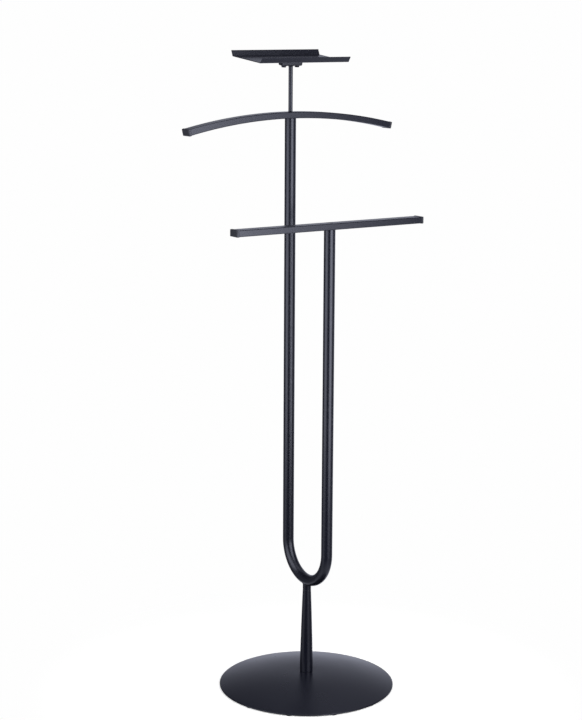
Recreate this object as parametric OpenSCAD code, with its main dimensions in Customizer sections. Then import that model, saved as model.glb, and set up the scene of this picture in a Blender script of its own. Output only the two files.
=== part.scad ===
// Valet stand: a round domed foot, a turned stem, one tube bent into a long U,
// an arched jacket hanger on the rear arm, a straight trouser bar on the front
// arm, and a shallow tray for keys and watches on a thin rod above the hanger.
//
// The origin is on the floor under the middle of the foot. +X runs along the
// bars, +Y points to the back (hanger side) and +Z is up. Units: millimetres.

/* [Overall] */
// Height from the floor to the top edge of the tray's rear lip
total_h = 1209; // [1180:1:1500]
// Height of the rear arm, where the hanger sits
rear_arm_h = 1085; // [700:1:1110]
// Height of the front arm, where the trouser bar sits
front_arm_h = 892; // [500:1:1100]

/* [Foot plate] */
// Diameter of the round plate
plate_d = 335; // [240:1:420]
// Thickness of the plate's sheet
plate_t = 2.5; // [1.5:0.1:4]
// Rise of the domed plate from its rim to its crown
dome_h = 22.5; // [8:0.5:32]
// Height of the chamfer around the plate's top edge
plate_chamfer = 0.6; // [0.2:0.1:1.2]
// Gap between the plate's rim and the floor, which the pads bridge
pad_t = 2; // [1:0.1:5]
// Diameter of one foam pad
pad_d = 14; // [8:1:24]
// Number of foam pads
pad_count = 6; // [3:1:10]
// Distance from the plate's rim to the pads' rim
pad_inset = 2; // [1:0.5:10]

/* [Stem] */
// Height of the joint between the stem and the neck above the floor
stem_top_h = 192; // [140:1:260]
// Diameter where the stem meets the plate
stem_foot_d = 24.4; // [17:0.1:24.4]
// Largest diameter of the stem
stem_belly_d = 25; // [24.6:0.1:36]
// Height of the largest diameter above the plate's crown
stem_belly_h = 18; // [12:1:70]
// Diameter at the top joint
stem_top_d = 15.8; // [14.6:0.1:19]
// How far the long taper bows outward at its middle
stem_bow = 0.4; // [0:0.1:1]
// Wall of the stem
stem_wall = 2; // [1.2:0.1:2.2]
// Length of the straight seat at each open end of the stem
stem_land = 5; // [3:1:10]

/* [U tube] */
// Outside diameter of the tube
tube_d = 21; // [19:0.1:26]
// Wall of the tube
tube_wall = 1.5; // [1:0.1:2.2]
// Distance between the middles of the two arms
arm_spacing = 132; // [90:1:200]
// Height of the neck, from the stem joint to the underside of the bend
neck_h = 9; // [7:0.1:20]
// Length of the threaded plugs in the arms
arm_plug_l = 24; // [14:1:50]

/* [Bars] */
// Depth of the bars, front to back
bar_w = 24; // [18:0.5:32]
// Height of the bars
bar_h = 12; // [11:0.5:20]
// Wall of the bars
bar_wall = 1.5; // [1:0.1:2.2]
// Radius of the bars' long outer edges
bar_edge_r = 1.8; // [1.7:0.1:2.8]
// Length of the hanger from tip to tip
hanger_l = 450; // [380:1:520]
// Bending radius of the hanger, at the middle of its height
hanger_r = 990; // [700:5:2000]
// Length of the trouser bar from tip to tip
trouser_l = 408; // [300:1:480]

/* [End caps] */
// Length of a cap's visible head
cap_head_l = 5; // [3:0.5:8]
// How far a cap's head stands proud of the bar all round
cap_proud = 0.5; // [0.2:0.1:1]
// Length of a cap's plug inside the bar
cap_plug_l = 14; // [8:1:24]
// Rounding of a cap's outer corners
cap_edge_r = 1.4; // [0.6:0.1:2]

/* [Tray] */
// Length of the tray along the bars
tray_l = 192; // [140:1:260]
// Depth of the tray's floor between the bends
tray_w = 94; // [60:1:140]
// Thickness of the tray's sheet
tray_t = 1.5; // [1:0.1:2.5]
// Length of a lip, measured up its slope
lip_l = 9.8; // [7:0.5:20]
// How far the lips lean outward from upright, in degrees
lip_flare = 29; // [5:1:45]
// Inside radius of the tray's bends
lip_bend_r = 1.5; // [1:0.5:4]
// Forward tilt of the tray, in degrees
tray_tilt = 6; // [0:0.5:8]

/* [Tray mount] */
// Diameter of the rod between hanger and tray
rod_d = 8; // [6.6:0.1:10]
// Diameter of the weld flare at the rod's top
rod_flare_d = 12; // [11:0.5:16]
// Height of the weld flare
rod_flare_h = 3.5; // [2:0.5:6]
// Length of the bracket along the bars, at the tray
bracket_l = 45; // [44:1:70]
// Depth of the bracket, front to back
bracket_w = 16; // [13:1:40]
// Height of the bracket
bracket_h = 11.5; // [7:0.5:14]
// Thickness of the bracket's sheet
bracket_t = 2.5; // [1.5:0.1:3]
// How far each end of the bracket splays outward
bracket_splay = 1; // [0:0.5:2]
// Distance between the two tray studs
stud_spacing = 29; // [25:0.5:29.5]
// Distance a stud reaches past its nut
stud_past_nut = 0.3; // [0.2:0.1:4]

/* [Fasteners] */
// Diameter of the large threads, in the foot and the neck
big_thread_d = 8; // [8:0.1:9]
// Diameter of the threads in the arms
arm_thread_d = 6; // [5.6:0.1:6.4]
// Diameter of the tray's studs
tray_thread_d = 5; // [4:0.1:6]
// Length of the foot screw
foot_screw_l = 28; // [22:1:40]
// Diameter and height of the foot screw's flat head
foot_head_d = 16; // [13:0.1:20]
foot_head_h = 4.5; // [3.4:0.1:5.5]
// Length of the joining stud between stem and neck
joining_stud_l = 24; // [18:1:34]
// Diameter of the trouser screw's round head
round_head_d = 10.5; // [9.5:0.1:11]
// Height of the trouser screw's round head
round_head_h = 3.3; // [2.8:0.1:3.6]
// Length of the trouser screw under its head
trouser_screw_l = 20; // [14:1:24]
// Width across the flats of a tray nut
nut_af = 8.2; // [7.5:0.1:9]
// Height of a tray nut
nut_h = 2.2; // [2:0.1:6]
// Outside diameter of a tray washer
washer_d = 10; // [9.6:0.1:12]
// Thickness of a tray washer
washer_t = 0.8; // [0.6:0.1:2]

/* [Fits] */
// Gap all round between a thread and its tapped hole
thread_gap = 0.05; // [0.02:0.01:0.1]
// Gap all round between a screw and a plain hole
hole_gap = 0.25; // [0.1:0.05:0.4]
// Gap all round between a metal plug and its tube
plug_gap = 0.05; // [0.02:0.01:0.1]
// Gap all round between a cap's plug and its bar
cap_gap = 0.2; // [0.1:0.05:0.3]
// Extra width of the hole that the trouser screw's head is driven through
access_gap = 1.5; // [1:0.1:2]

/* [Hidden] */
$fn = 96;
plate_fn = 180;
tube_fn = 64;
hanger_fn = 360;
corner_fn = 32;
// Length by which a cut runs past the faces it cuts
over = 1;

coat = [0.13, 0.13, 0.15];
plastic = [0.09, 0.09, 0.10];
foam = [0.06, 0.06, 0.06];
zinc = [0.62, 0.62, 0.60];
black_zinc = [0.10, 0.10, 0.11];

tube_r = tube_d / 2;
bend_r = arm_spacing / 2;
rear_y = bend_r;
front_y = -bend_r;
plate_top_z = pad_t + plate_t + dome_h;
bend_low_z = stem_top_h + neck_h;
bend_z = bend_low_z + tube_r + bend_r;

// The hanger's underside curves away from the arm, so the arm ends where the
// curve has dropped to at the tube's rim and the two touch there.
hanger_inner_r = hanger_r - bar_h / 2;
hanger_sag = hanger_inner_r - sqrt(hanger_inner_r * hanger_inner_r - tube_r * tube_r);
hanger_z = rear_arm_h + hanger_sag;
hanger_axis_z = hanger_z - hanger_inner_r;
hanger_top_z = hanger_z + bar_h;

// Half angle of the bent bar that puts the caps' upper corners hanger_l apart.
cap_corner_r = hanger_r + bar_h / 2 + cap_proud;
hanger_reach = sqrt(cap_corner_r * cap_corner_r + cap_head_l * cap_head_l);
hanger_half_a = asin(hanger_l / 2 / hanger_reach) - atan2(cap_head_l, cap_corner_r);

trouser_tube_l = trouser_l - 2 * cap_head_l;
trouser_axis_z = front_arm_h + bar_h / 2;
trouser_hole_d = round_head_d + access_gap;
bar_inner_r = max(bar_edge_r - bar_wall, 0.1);

// The tray's frame: its origin is under the middle of the floor, on the rod's
// axis, and it leans forward by tray_tilt.
lip_turn = 90 - lip_flare;
lip_tip = lip_end(lip_bend_r);
tray_z = total_h - (lip_tip.x * sin(tray_tilt) + lip_tip.y * cos(tray_tilt));

// Screws, plugs and studs: how far a plug runs past the thread in it, the metal
// left above the neck's blind hole, and the room past the joining stud's end.
plug_past_thread = 3;
neck_roof = 1;
stud_end_gap = 0.5;
rod_end_gap = 6;
foot_plug_d = stem_foot_d - 2 * stem_wall - 2 * plug_gap;
head_plug_d = stem_top_d - 2 * stem_wall - 2 * plug_gap;
foot_plug_l = foot_screw_l - plate_t + plug_past_thread;
joining_low_l = joining_stud_l - neck_h + neck_roof + stud_end_gap;
head_plug_l = joining_low_l + plug_past_thread;
rod_thread_l = arm_plug_l - rod_end_gap;

// Hexagon sockets: width across the flats and depth.
foot_socket = [5, 2.6];
stud_socket = [4, 4];
trouser_socket = [4, 2];

// ---- shared shapes ----

// Rectangle centred on the origin with round corners.
module round_rect(w, h, r) {
    square([w - 2 * r, h], center = true);
    square([w, h - 2 * r], center = true);
    for (sx = [-1, 1], sy = [-1, 1]) {
        translate([sx * (w / 2 - r), sy * (h / 2 - r)])
            circle(r = r, $fn = corner_fn);
    }
}

// Section of a bar: the depth runs along X and the height along Y.
module bar_section() {
    difference() {
        round_rect(bar_w, bar_h, bar_edge_r);
        round_rect(bar_w - 2 * bar_wall, bar_h - 2 * bar_wall, bar_inner_r);
    }
}

// Cap for a bar that ends at x = 0 and comes from -X: head outside, plug inside.
// The head is where three prisms meet, so its outer edges are round all ways. The
// two prisms seen from above and from the side start behind the head.
module end_cap() {
    head_w = bar_w + 2 * cap_proud;
    head_h = bar_h + 2 * cap_proud;
    plug_w = bar_w - 2 * bar_wall - 2 * cap_gap;
    plug_h = bar_h - 2 * bar_wall - 2 * cap_gap;
    plug_wall = 1.6;
    prism_l = 4 * cap_head_l;
    prism_x = cap_head_l - prism_l / 2;
    intersection() {
        rotate([90, 0, 90])
            linear_extrude(cap_head_l)
                round_rect(head_w, head_h, cap_edge_r);
        translate([prism_x, 0, -head_h])
            linear_extrude(2 * head_h)
                round_rect(prism_l, head_w, cap_edge_r);
        rotate([90, 0, 0])
            translate([prism_x, 0, -head_w])
                linear_extrude(2 * head_w)
                    round_rect(prism_l, head_h, cap_edge_r);
    }
    translate([-cap_plug_l, 0, 0])
        difference() {
            rotate([90, 0, 90])
                linear_extrude(cap_plug_l + over / 2)
                    square([plug_w, plug_h], center = true);
            rotate([90, 0, 90])
                translate([0, 0, -over])
                    linear_extrude(cap_plug_l)
                        square([plug_w - 2 * plug_wall, plug_h - 2 * plug_wall], center = true);
        }
}

// Cut for a hexagon socket of [width across flats, depth], from z = -over upward.
module socket_cut(socket) {
    translate([0, 0, -over])
        rotate([0, 0, 30])
            cylinder(d = socket[0] / cos(30), h = socket[1] + over, $fn = 6);
}

// Places its children in the tray's tilted frame.
module in_tray() {
    translate([0, rear_y, tray_z])
        rotate([tray_tilt, 0, 0])
            children();
}

// ---- foot ----

// The plate is pressed to a dome: flat under the stem, then an arc down to the
// rim. dome_z is the height of its upper side at radius r, and the lower side is
// plate_t below it.
plate_r = plate_d / 2;
crown_r = stem_foot_d / 2 + 2;
dome_arc_r = (pow(plate_r - crown_r, 2) + pow(dome_h, 2)) / (2 * dome_h);
function dome_z(r) = plate_top_z - dome_arc_r
    + sqrt(pow(dome_arc_r, 2) - pow(max(r - crown_r, 0), 2));
dome_steps = 16;
function dome_r(i) = crown_r + (plate_r - crown_r) * i / dome_steps;

module base_plate() color(coat)
    difference() {
        rotate_extrude($fn = plate_fn)
            polygon(concat(
                [[0, plate_top_z]],
                [for (i = [0 : dome_steps - 1]) [dome_r(i), dome_z(dome_r(i))]],
                [[plate_r - plate_chamfer, dome_z(plate_r - plate_chamfer)],
                    [plate_r, pad_t + plate_t - plate_chamfer]],
                [for (i = [dome_steps : -1 : 0]) [dome_r(i), dome_z(dome_r(i)) - plate_t]],
                [[0, plate_top_z - plate_t]]));
        translate([0, 0, plate_top_z - plate_t - over])
            cylinder(d = big_thread_d + 2 * hole_gap, h = plate_t + 2 * over);
    }

// Space from the plate's lower side upward, which cuts the pads to its slope.
module above_plate_underside()
    rotate_extrude($fn = plate_fn)
        polygon(concat(
            [for (i = [0 : dome_steps]) [dome_r(i), dome_z(dome_r(i)) - plate_t]],
            [[plate_r, plate_top_z + over], [crown_r, plate_top_z + over]]));

module base_pads() color(foam)
    difference() {
        for (i = [0 : pad_count - 1]) {
            rotate([0, 0, (i + 0.5) * 360 / pad_count])
                translate([plate_r - pad_inset - pad_d / 2, 0, 0])
                    cylinder(d = pad_d, h = plate_top_z);
        }
        above_plate_underside();
    }

module foot_screw() color(zinc)
    translate([0, 0, plate_top_z - plate_t - foot_head_h])
        difference() {
            union() {
                cylinder(d = foot_head_d, h = foot_head_h);
                cylinder(d = big_thread_d, h = foot_head_h + foot_screw_l);
            }
            socket_cut(foot_socket);
        }

// ---- stem ----

// Radius of the stem at height z above the plate: a round foot up to the
// belly, then a long taper that bows outward a little.
function foot_arc_r() =
    (pow(stem_belly_h, 2) + pow((stem_belly_d - stem_foot_d) / 2, 2)) / (stem_belly_d - stem_foot_d);
function stem_r(z) = z <= stem_belly_h
    ? stem_belly_d / 2 - foot_arc_r() + sqrt(pow(foot_arc_r(), 2) - pow(stem_belly_h - z, 2))
    : taper_r((z - stem_belly_h) / (stem_h - stem_belly_h));
function taper_r(u) =
    stem_belly_d / 2 + (stem_top_d - stem_belly_d) / 2 * u + 4 * stem_bow * u * (1 - u);
stem_h = stem_top_h - plate_top_z;
foot_steps = 10;
taper_steps = 12;
stem_zs = concat(
    [for (i = [0 : foot_steps]) stem_belly_h * i / foot_steps],
    [for (i = [1 : taper_steps]) stem_belly_h + (stem_h - stem_belly_h) * i / taper_steps]);

module stem() color(coat)
    translate([0, 0, plate_top_z])
        difference() {
            rotate_extrude()
                polygon(concat([[0, 0]], [for (z = stem_zs) [stem_r(z), z]], [[0, stem_h]]));
            rotate_extrude()
                polygon(concat([[0, stem_land], [stem_foot_d / 2 - stem_wall, stem_land]],
                    [for (z = stem_zs) if (z > stem_land && z < stem_h - stem_land)
                        [stem_r(z) - stem_wall, z]],
                    [[stem_top_d / 2 - stem_wall, stem_h - stem_land], [0, stem_h - stem_land]]));
            translate([0, 0, -over])
                cylinder(d = stem_foot_d - 2 * stem_wall, h = stem_land + 2 * over);
            translate([0, 0, stem_h - stem_land - over])
                cylinder(d = stem_top_d - 2 * stem_wall, h = stem_land + 2 * over);
        }

module stem_foot_plug() color(zinc)
    translate([0, 0, plate_top_z])
        difference() {
            cylinder(d = foot_plug_d, h = foot_plug_l);
            translate([0, 0, -over])
                cylinder(d = big_thread_d + 2 * thread_gap, h = foot_plug_l + 2 * over);
        }

module stem_head_plug() color(zinc)
    translate([0, 0, stem_top_h - head_plug_l])
        difference() {
            cylinder(d = head_plug_d, h = head_plug_l);
            translate([0, 0, -over])
                cylinder(d = big_thread_d + 2 * thread_gap, h = head_plug_l + 2 * over);
        }

module joining_stud() color(zinc)
    difference() {
        translate([0, 0, stem_top_h - joining_low_l])
            cylinder(d = big_thread_d, h = joining_stud_l);
        translate([0, 0, stem_top_h - joining_low_l])
            socket_cut(stud_socket);
    }

// ---- U tube ----

// The bend: half a ring in the YZ plane, hanging below bend_z.
module half_ring(r) {
    translate([0, 0, bend_z])
        rotate([90, 0, 90])
            rotate([0, 0, 180])
                rotate_extrude(angle = 180)
                    translate([bend_r, 0])
                        circle(r = r, $fn = tube_fn);
}

module neck() color(coat)
    difference() {
        translate([0, 0, stem_top_h])
            cylinder(d = stem_top_d, h = neck_h + tube_r / 2);
        half_ring(tube_r);
        translate([0, 0, stem_top_h - over])
            cylinder(d = big_thread_d + 2 * thread_gap, h = neck_h - neck_roof + over);
    }

module u_solid(r) {
    half_ring(r);
    translate([0, rear_y, bend_z])
        cylinder(r = r, h = rear_arm_h - bend_z, $fn = tube_fn);
    translate([0, front_y, bend_z])
        cylinder(r = r, h = front_arm_h - bend_z, $fn = tube_fn);
}

module u_tube() color(coat)
    difference() {
        u_solid(tube_r);
        u_solid(tube_r - tube_wall);
    }

// Threaded plug welded into the open end of an arm, flush with its rim.
module arm_plug(y, top_z) {
    translate([0, y, top_z - arm_plug_l])
        difference() {
            cylinder(r = tube_r - tube_wall - plug_gap, h = arm_plug_l);
            translate([0, 0, -over])
                cylinder(d = arm_thread_d + 2 * thread_gap, h = arm_plug_l + 2 * over);
        }
}

module rear_arm_plug() color(zinc) arm_plug(rear_y, rear_arm_h);
module front_arm_plug() color(zinc) arm_plug(front_y, front_arm_h);

// ---- hanger ----

module hanger_bar() color(coat)
    difference() {
        translate([0, rear_y, hanger_axis_z])
            rotate([90, 0, 0])
                rotate([0, 0, 90 - hanger_half_a])
                    rotate_extrude(angle = 2 * hanger_half_a, $fn = hanger_fn)
                        translate([hanger_r, 0])
                            rotate([0, 0, 90])
                                bar_section();
        translate([0, rear_y, hanger_z - bar_h])
            cylinder(d = arm_thread_d + 2 * hole_gap, h = 3 * bar_h);
    }

// Cap on the right (side = 1) or left (side = -1) end of the hanger.
module hanger_cap(side) {
    translate([0, rear_y, hanger_axis_z])
        rotate([0, side * hanger_half_a, 0])
            translate([0, 0, hanger_r])
                rotate([0, 0, side > 0 ? 0 : 180])
                    end_cap();
}

module hanger_cap_left() color(plastic) hanger_cap(-1);
module hanger_cap_right() color(plastic) hanger_cap(1);

// ---- trouser bar ----

module trouser_bar() color(coat)
    difference() {
        translate([-trouser_tube_l / 2, front_y, trouser_axis_z])
            rotate([90, 0, 90])
                linear_extrude(trouser_tube_l)
                    bar_section();
        translate([0, front_y, front_arm_h - over])
            cylinder(d = arm_thread_d + 2 * hole_gap, h = bar_h);
        translate([0, front_y, trouser_axis_z])
            cylinder(d = trouser_hole_d, h = bar_h);
    }

module trouser_cap(side) {
    translate([side * trouser_tube_l / 2, front_y, trouser_axis_z])
        rotate([0, 0, side > 0 ? 0 : 180])
            end_cap();
}

module trouser_cap_left() color(plastic) trouser_cap(-1);
module trouser_cap_right() color(plastic) trouser_cap(1);

// Round-head screw that clamps the bar's lower wall onto the front arm.
module trouser_screw() color(zinc)
    translate([0, front_y, front_arm_h + bar_wall])
        difference() {
            union() {
                translate([0, 0, -trouser_screw_l])
                    cylinder(d = arm_thread_d, h = trouser_screw_l + over);
                cylinder(d = round_head_d, h = round_head_h);
            }
            translate([0, 0, round_head_h])
                mirror([0, 0, 1])
                    socket_cut(trouser_socket);
        }

// Flush plastic plug over the screw's access hole.
module trouser_cover() color(plastic)
    translate([0, front_y, front_arm_h + bar_h - bar_wall])
        cylinder(d = trouser_hole_d - 2 * plug_gap, h = bar_wall);

// ---- tray and its mount ----

module tray_rod() color(coat)
    difference() {
        union() {
            translate([0, rear_y, rear_arm_h - rod_thread_l])
                cylinder(d = arm_thread_d, h = hanger_top_z - rear_arm_h + rod_thread_l + over);
            translate([0, rear_y, hanger_top_z])
                cylinder(d = rod_d, h = tray_z - hanger_top_z);
            in_tray()
                translate([0, 0, -bracket_h - rod_flare_h])
                    cylinder(d1 = rod_d, d2 = rod_flare_d, h = rod_flare_h);
        }
        in_tray()
            translate([-rod_flare_d, -rod_flare_d, -bracket_h])
                cube(2 * rod_flare_d);
    }

// Side view of the bracket, a shallow pan welded on the rod that carries the tray on
// its rim. The outline is inset from the outer faces and runs past the open top.
function bracket_outline(inset) = [
    [-bracket_l / 2 + inset, over * sign(inset)],
    [-bracket_l / 2 + bracket_splay + inset, -bracket_h + inset],
    [bracket_l / 2 - bracket_splay - inset, -bracket_h + inset],
    [bracket_l / 2 - inset, over * sign(inset)]];

module bracket_prism(inset)
    translate([0, bracket_w / 2 - inset, 0])
        rotate([90, 0, 0])
            linear_extrude(bracket_w - 2 * inset)
                polygon(bracket_outline(inset));

module tray_bracket() color(coat)
    in_tray()
        difference() {
            bracket_prism(0);
            bracket_prism(bracket_t);
            stud_places(-bracket_h - over)
                cylinder(d = tray_thread_d + 2 * hole_gap, h = bracket_t + 2 * over);
        }

// Both stud places of the tray, at height z in the tray's frame.
module stud_places(z) {
    for (side = [-1, 1]) {
        translate([side * stud_spacing / 2, 0, z])
            children();
    }
}

// Outline of the right-hand bend and lip, from the floor's underside round the
// lip to the floor's top. rim is the sheet's outer or inner radius at the bend.
lip_steps = 10;
function bend_point(rim, turn) =
    [tray_w / 2 + rim * sin(turn), lip_bend_r + tray_t - rim * cos(turn)];
function lip_end(rim) = bend_point(rim, lip_turn) + lip_l * [cos(lip_turn), sin(lip_turn)];
function bend_arc(rim, steps) = [for (i = steps) bend_point(rim, lip_turn * i / lip_steps)];
lip_outline = concat(
    bend_arc(lip_bend_r + tray_t, [0 : lip_steps]),
    [lip_end(lip_bend_r + tray_t), lip_end(lip_bend_r)],
    bend_arc(lip_bend_r, [lip_steps : -1 : 0]));
lip_last = len(lip_outline) - 1;
tray_outline = concat(lip_outline,
    [for (i = [lip_last : -1 : 0]) [-lip_outline[i].x, lip_outline[i].y]]);

module tray() color(coat)
    in_tray()
        translate([-tray_l / 2, 0, 0])
            rotate([90, 0, 90])
                linear_extrude(tray_l)
                    polygon(tray_outline);

// Threaded studs welded under the tray.
module tray_studs() color(black_zinc)
    in_tray() {
        stud_l = bracket_h + washer_t + nut_h + stud_past_nut;
        stud_places(-stud_l)
            cylinder(d = tray_thread_d, h = stud_l);
    }

module tray_washers() color(black_zinc)
    in_tray()
        stud_places(-bracket_h - washer_t)
            difference() {
                cylinder(d = washer_d, h = washer_t);
                translate([0, 0, -over])
                    cylinder(d = tray_thread_d + 2 * hole_gap, h = washer_t + 2 * over);
            }

module tray_nuts() color(black_zinc)
    in_tray()
        stud_places(-bracket_h - washer_t - nut_h)
            difference() {
                cylinder(d = nut_af / cos(30), h = nut_h, $fn = 6);
                translate([0, 0, -over])
                    cylinder(d = tray_thread_d + 2 * thread_gap, h = nut_h + 2 * over);
            }

base_plate();
base_pads();
foot_screw();
stem();
stem_foot_plug();
stem_head_plug();
joining_stud();
neck();
u_tube();
rear_arm_plug();
front_arm_plug();
hanger_bar();
hanger_cap_left();
hanger_cap_right();
trouser_bar();
trouser_cap_left();
trouser_cap_right();
trouser_screw();
trouser_cover();
tray_rod();
tray_bracket();
tray();
tray_studs();
tray_washers();
tray_nuts();
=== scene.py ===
# %% [markdown]
# # A valet stand in powder-coated steel
# The object is a clothes stand: a domed foot plate, a turned stem, one tube bent into a
# long U, an arched jacket hanger, a straight trouser bar and a small tray on a rod. The
# design is loaded as a fixed frame. Each visible piece is then made again as a smooth
# surface with the small things that a maker leaves behind: rolled edges, weld beads,
# moulded caps and cut threads. The pieces inside the tubes stay as they are designed.

# %% Load the frame
import math

import bmesh
import bpy
import numpy as np
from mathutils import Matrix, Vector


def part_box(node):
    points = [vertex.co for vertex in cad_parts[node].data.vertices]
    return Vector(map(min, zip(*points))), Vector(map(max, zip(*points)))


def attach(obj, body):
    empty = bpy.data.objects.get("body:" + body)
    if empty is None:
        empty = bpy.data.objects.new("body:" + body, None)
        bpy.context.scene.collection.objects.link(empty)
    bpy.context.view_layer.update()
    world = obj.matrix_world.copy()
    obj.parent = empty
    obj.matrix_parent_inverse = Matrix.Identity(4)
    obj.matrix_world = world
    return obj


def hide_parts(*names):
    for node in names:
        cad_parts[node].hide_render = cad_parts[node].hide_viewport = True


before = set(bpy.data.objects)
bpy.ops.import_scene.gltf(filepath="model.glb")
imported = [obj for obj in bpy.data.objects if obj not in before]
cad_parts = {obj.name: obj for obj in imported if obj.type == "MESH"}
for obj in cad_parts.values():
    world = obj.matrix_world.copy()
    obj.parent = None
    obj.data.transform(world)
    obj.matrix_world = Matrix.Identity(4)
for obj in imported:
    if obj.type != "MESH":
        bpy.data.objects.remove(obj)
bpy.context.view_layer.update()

MM = 0.001

# %% [markdown]
# ## Reading sizes from the frame
# Sizes are measured on the frame's own nodes, so that a piece lands where the design puts
# it. Two helpers are enough: the corners of a node's box, and its points as one array.


# %% Measure nodes
def corners(node):
    """Lowest and highest corner of a node, in metres."""
    low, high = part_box(node)
    return np.array(low), np.array(high)


def node_points(node):
    """All points of a node's mesh, one row each, in metres."""
    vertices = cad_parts[node].data.vertices
    flat = np.empty(len(vertices) * 3)
    vertices.foreach_get("co", flat)
    return flat.reshape(-1, 3)


plate_low, plate_high = corners("base_plate")
tube_low, tube_high = corners("u_tube")
TUBE_R = tube_high[0]
REAR_Y = tube_high[1] - TUBE_R
FRONT_Y = -REAR_Y
BEND_R = REAR_Y
BEND_Z = tube_low[2] + TUBE_R + BEND_R
print(f"tube radius {TUBE_R / MM:.2f} mm, arms {2 * REAR_Y / MM:.1f} mm apart,"
      f" bend centre {BEND_Z / MM:.1f} mm up")

# %% [markdown]
# ## Surfaces from grids
# Every new piece is a grid of points: rows run along it and columns run round it. The
# faces follow from the grid's size alone, so one function makes them for all pieces. A
# grid that wraps both ways is a closed wall, like a tube with its inside. A row whose
# points are all the same is a pole, and merging doubles closes it.


# %% Grid helpers
def grid_faces(rows, cols, wrap_rows, wrap_cols):
    """Corner numbers of a grid's quads. Quad (i, j) joins point (i, j) with its
    neighbours in the next column and the next row, and a wrapped side joins its start."""
    number = np.arange(rows * cols).reshape(rows, cols)
    if wrap_rows:
        number = np.vstack([number, number[:1]])
    if wrap_cols:
        number = np.hstack([number, number[:, :1]])
    quads = [number[:-1, :-1], number[:-1, 1:], number[1:, 1:], number[1:, :-1]]
    return np.stack(quads, axis=-1).reshape(-1, 4)


def enclosed_volume(points, quads):
    """Signed volume inside closed faces: a sixth of the sum of a . (b x c + c x d).
    It is positive where the faces a, b, c, d point outward."""
    a, b, c, d = (points[quads[:, k]] for k in range(4))
    return np.sum(a * (np.cross(b, c) + np.cross(c, d))) / 6


def piece_mesh(name, grids, closed=True):
    """One object from a list of (points, wrap_rows, wrap_cols) grids. Each closed grid
    that is inside out is turned round, and doubles at seams and poles are merged."""
    points = []
    faces = []
    start = 0
    for grid, wrap_rows, wrap_cols in grids:
        flat = grid.reshape(-1, 3)
        quads = grid_faces(*grid.shape[:2], wrap_rows, wrap_cols)
        if closed and enclosed_volume(flat, quads) < 0:
            quads = quads[:, ::-1]
        points.append(flat)
        faces.append(quads + start)
        start += len(flat)
    mesh = bpy.data.meshes.new(name)
    mesh.from_pydata(np.vstack(points).tolist(), [], np.vstack(faces).tolist())
    merged = bmesh.new()
    merged.from_mesh(mesh)
    bmesh.ops.remove_doubles(merged, verts=merged.verts, dist=MERGE_DISTANCE)
    merged.to_mesh(mesh)
    merged.free()
    mesh.shade_smooth()
    mesh.set_sharp_from_angle(angle=SHARP_ANGLE)
    piece = bpy.data.objects.new(name, mesh)
    bpy.context.scene.collection.objects.link(piece)
    return piece


MERGE_DISTANCE = 1e-6
SHARP_ANGLE = math.radians(35)

# %% [markdown]
# ## Outlines and the two ways to carry them
# A bar is a flat section carried along a line, and a stem or a washer is a profile turned
# round an axis. Both are one array sum, so a whole piece is computed at once.


# %% Outlines
def arc(centre, radius, start, end, steps=8):
    """Points on a circle round centre, from start to end degrees."""
    angle = np.radians(np.linspace(start, end, steps + 1))
    return np.array(centre) + radius * np.column_stack([np.cos(angle), np.sin(angle)])


def circle(radius, count=64):
    """Closed circle: radius times (cos a, sin a) for evenly spaced a."""
    return arc((0, 0), radius, 0, 360, count)[:-1]


def round_rect(width, height, radius, steps=6):
    """Closed rectangle with round corners. Each corner is a quarter circle whose centre
    is (+-(width / 2 - radius), +-(height / 2 - radius))."""
    corner = np.repeat(np.arange(4), steps + 1)
    angle = np.radians(90) * (corner + np.tile(np.linspace(0, 1, steps + 1), 4))
    side = np.array([[1, 1], [-1, 1], [-1, -1], [1, -1]])[corner]
    centre = side * (np.array([width, height]) / 2 - radius)
    return centre + radius * np.column_stack([np.cos(angle), np.sin(angle)])


def carried(section, path, side, up):
    """A flat section carried along a path: path + x * side + y * up, for each row."""
    path = np.asarray(path, float)
    section = np.broadcast_to(section, (len(path),) + np.shape(section)[-2:])
    side = np.broadcast_to(side, path.shape)
    up = np.broadcast_to(up, path.shape)
    return path[:, None] + section[..., :1] * side[:, None] + section[..., 1:] * up[:, None]


def turned(profile, count=96, y=0.0):
    """A profile of (radius, height) turned round the upright axis at x = 0 and y."""
    profile = np.asarray(profile, float)[:, None]
    ring = np.column_stack([circle(1, count), np.zeros(count)])
    return profile[..., :1] * ring + profile[..., 1:] * [0, 0, 1] + [0, y, 0]


# %% [markdown]
# ## Nodes for materials
# A material is a small graph. One helper adds a node of any kind, sets its options, and
# either stores or links what it is given, so each finish below reads like a recipe.
# Colours are written as they look on a screen and are turned to linear light once.


# %% Material helpers
def linear(code):
    """Linear RGBA of an sRGB hex colour: ((c + 0.055) / 1.055) ^ 2.4, or c / 12.92 near
    black."""
    value = np.array([int(code[k:k + 2], 16) for k in (1, 3, 5)]) / 255
    light = np.where(value > 0.04045, ((value + 0.055) / 1.055) ** 2.4, value / 12.92)
    return (*light.tolist(), 1.0)


def add(tree, kind, sockets=None, **options):
    """Adds one node. Options are set on the node, and each socket value is either
    another node's output, which is linked, or a plain value, which is stored."""
    made = tree.nodes.new(kind)
    for option, value in options.items():
        setattr(made, option, value)
    for socket, value in (sockets or {}).items():
        if isinstance(value, bpy.types.NodeSocket):
            tree.links.new(value, made.inputs[socket])
        else:
            made.inputs[socket].default_value = value
    return made


def new_material(name):
    """An empty node material and its tree."""
    material = bpy.data.materials.new(name)
    material.use_nodes = True
    material.node_tree.nodes.clear()
    return material, material.node_tree


def per_metre(size):
    """Noise scale that gives a pattern of about this size in metres."""
    return 1 / size


# %% [markdown]
# ## Powder coat
# The steel is powder coated: epoxy-polyester powder is sprayed on, then melted in an oven.
# It flows into a thick satin skin with a fine orange peel, a little softer at edges. Here
# the base is a charcoal with a trace of blue, the film's IOR is 1.5, and two noises make
# the peel (about 2.5 mm waves) and the finer grain left by single powder grains.

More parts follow.
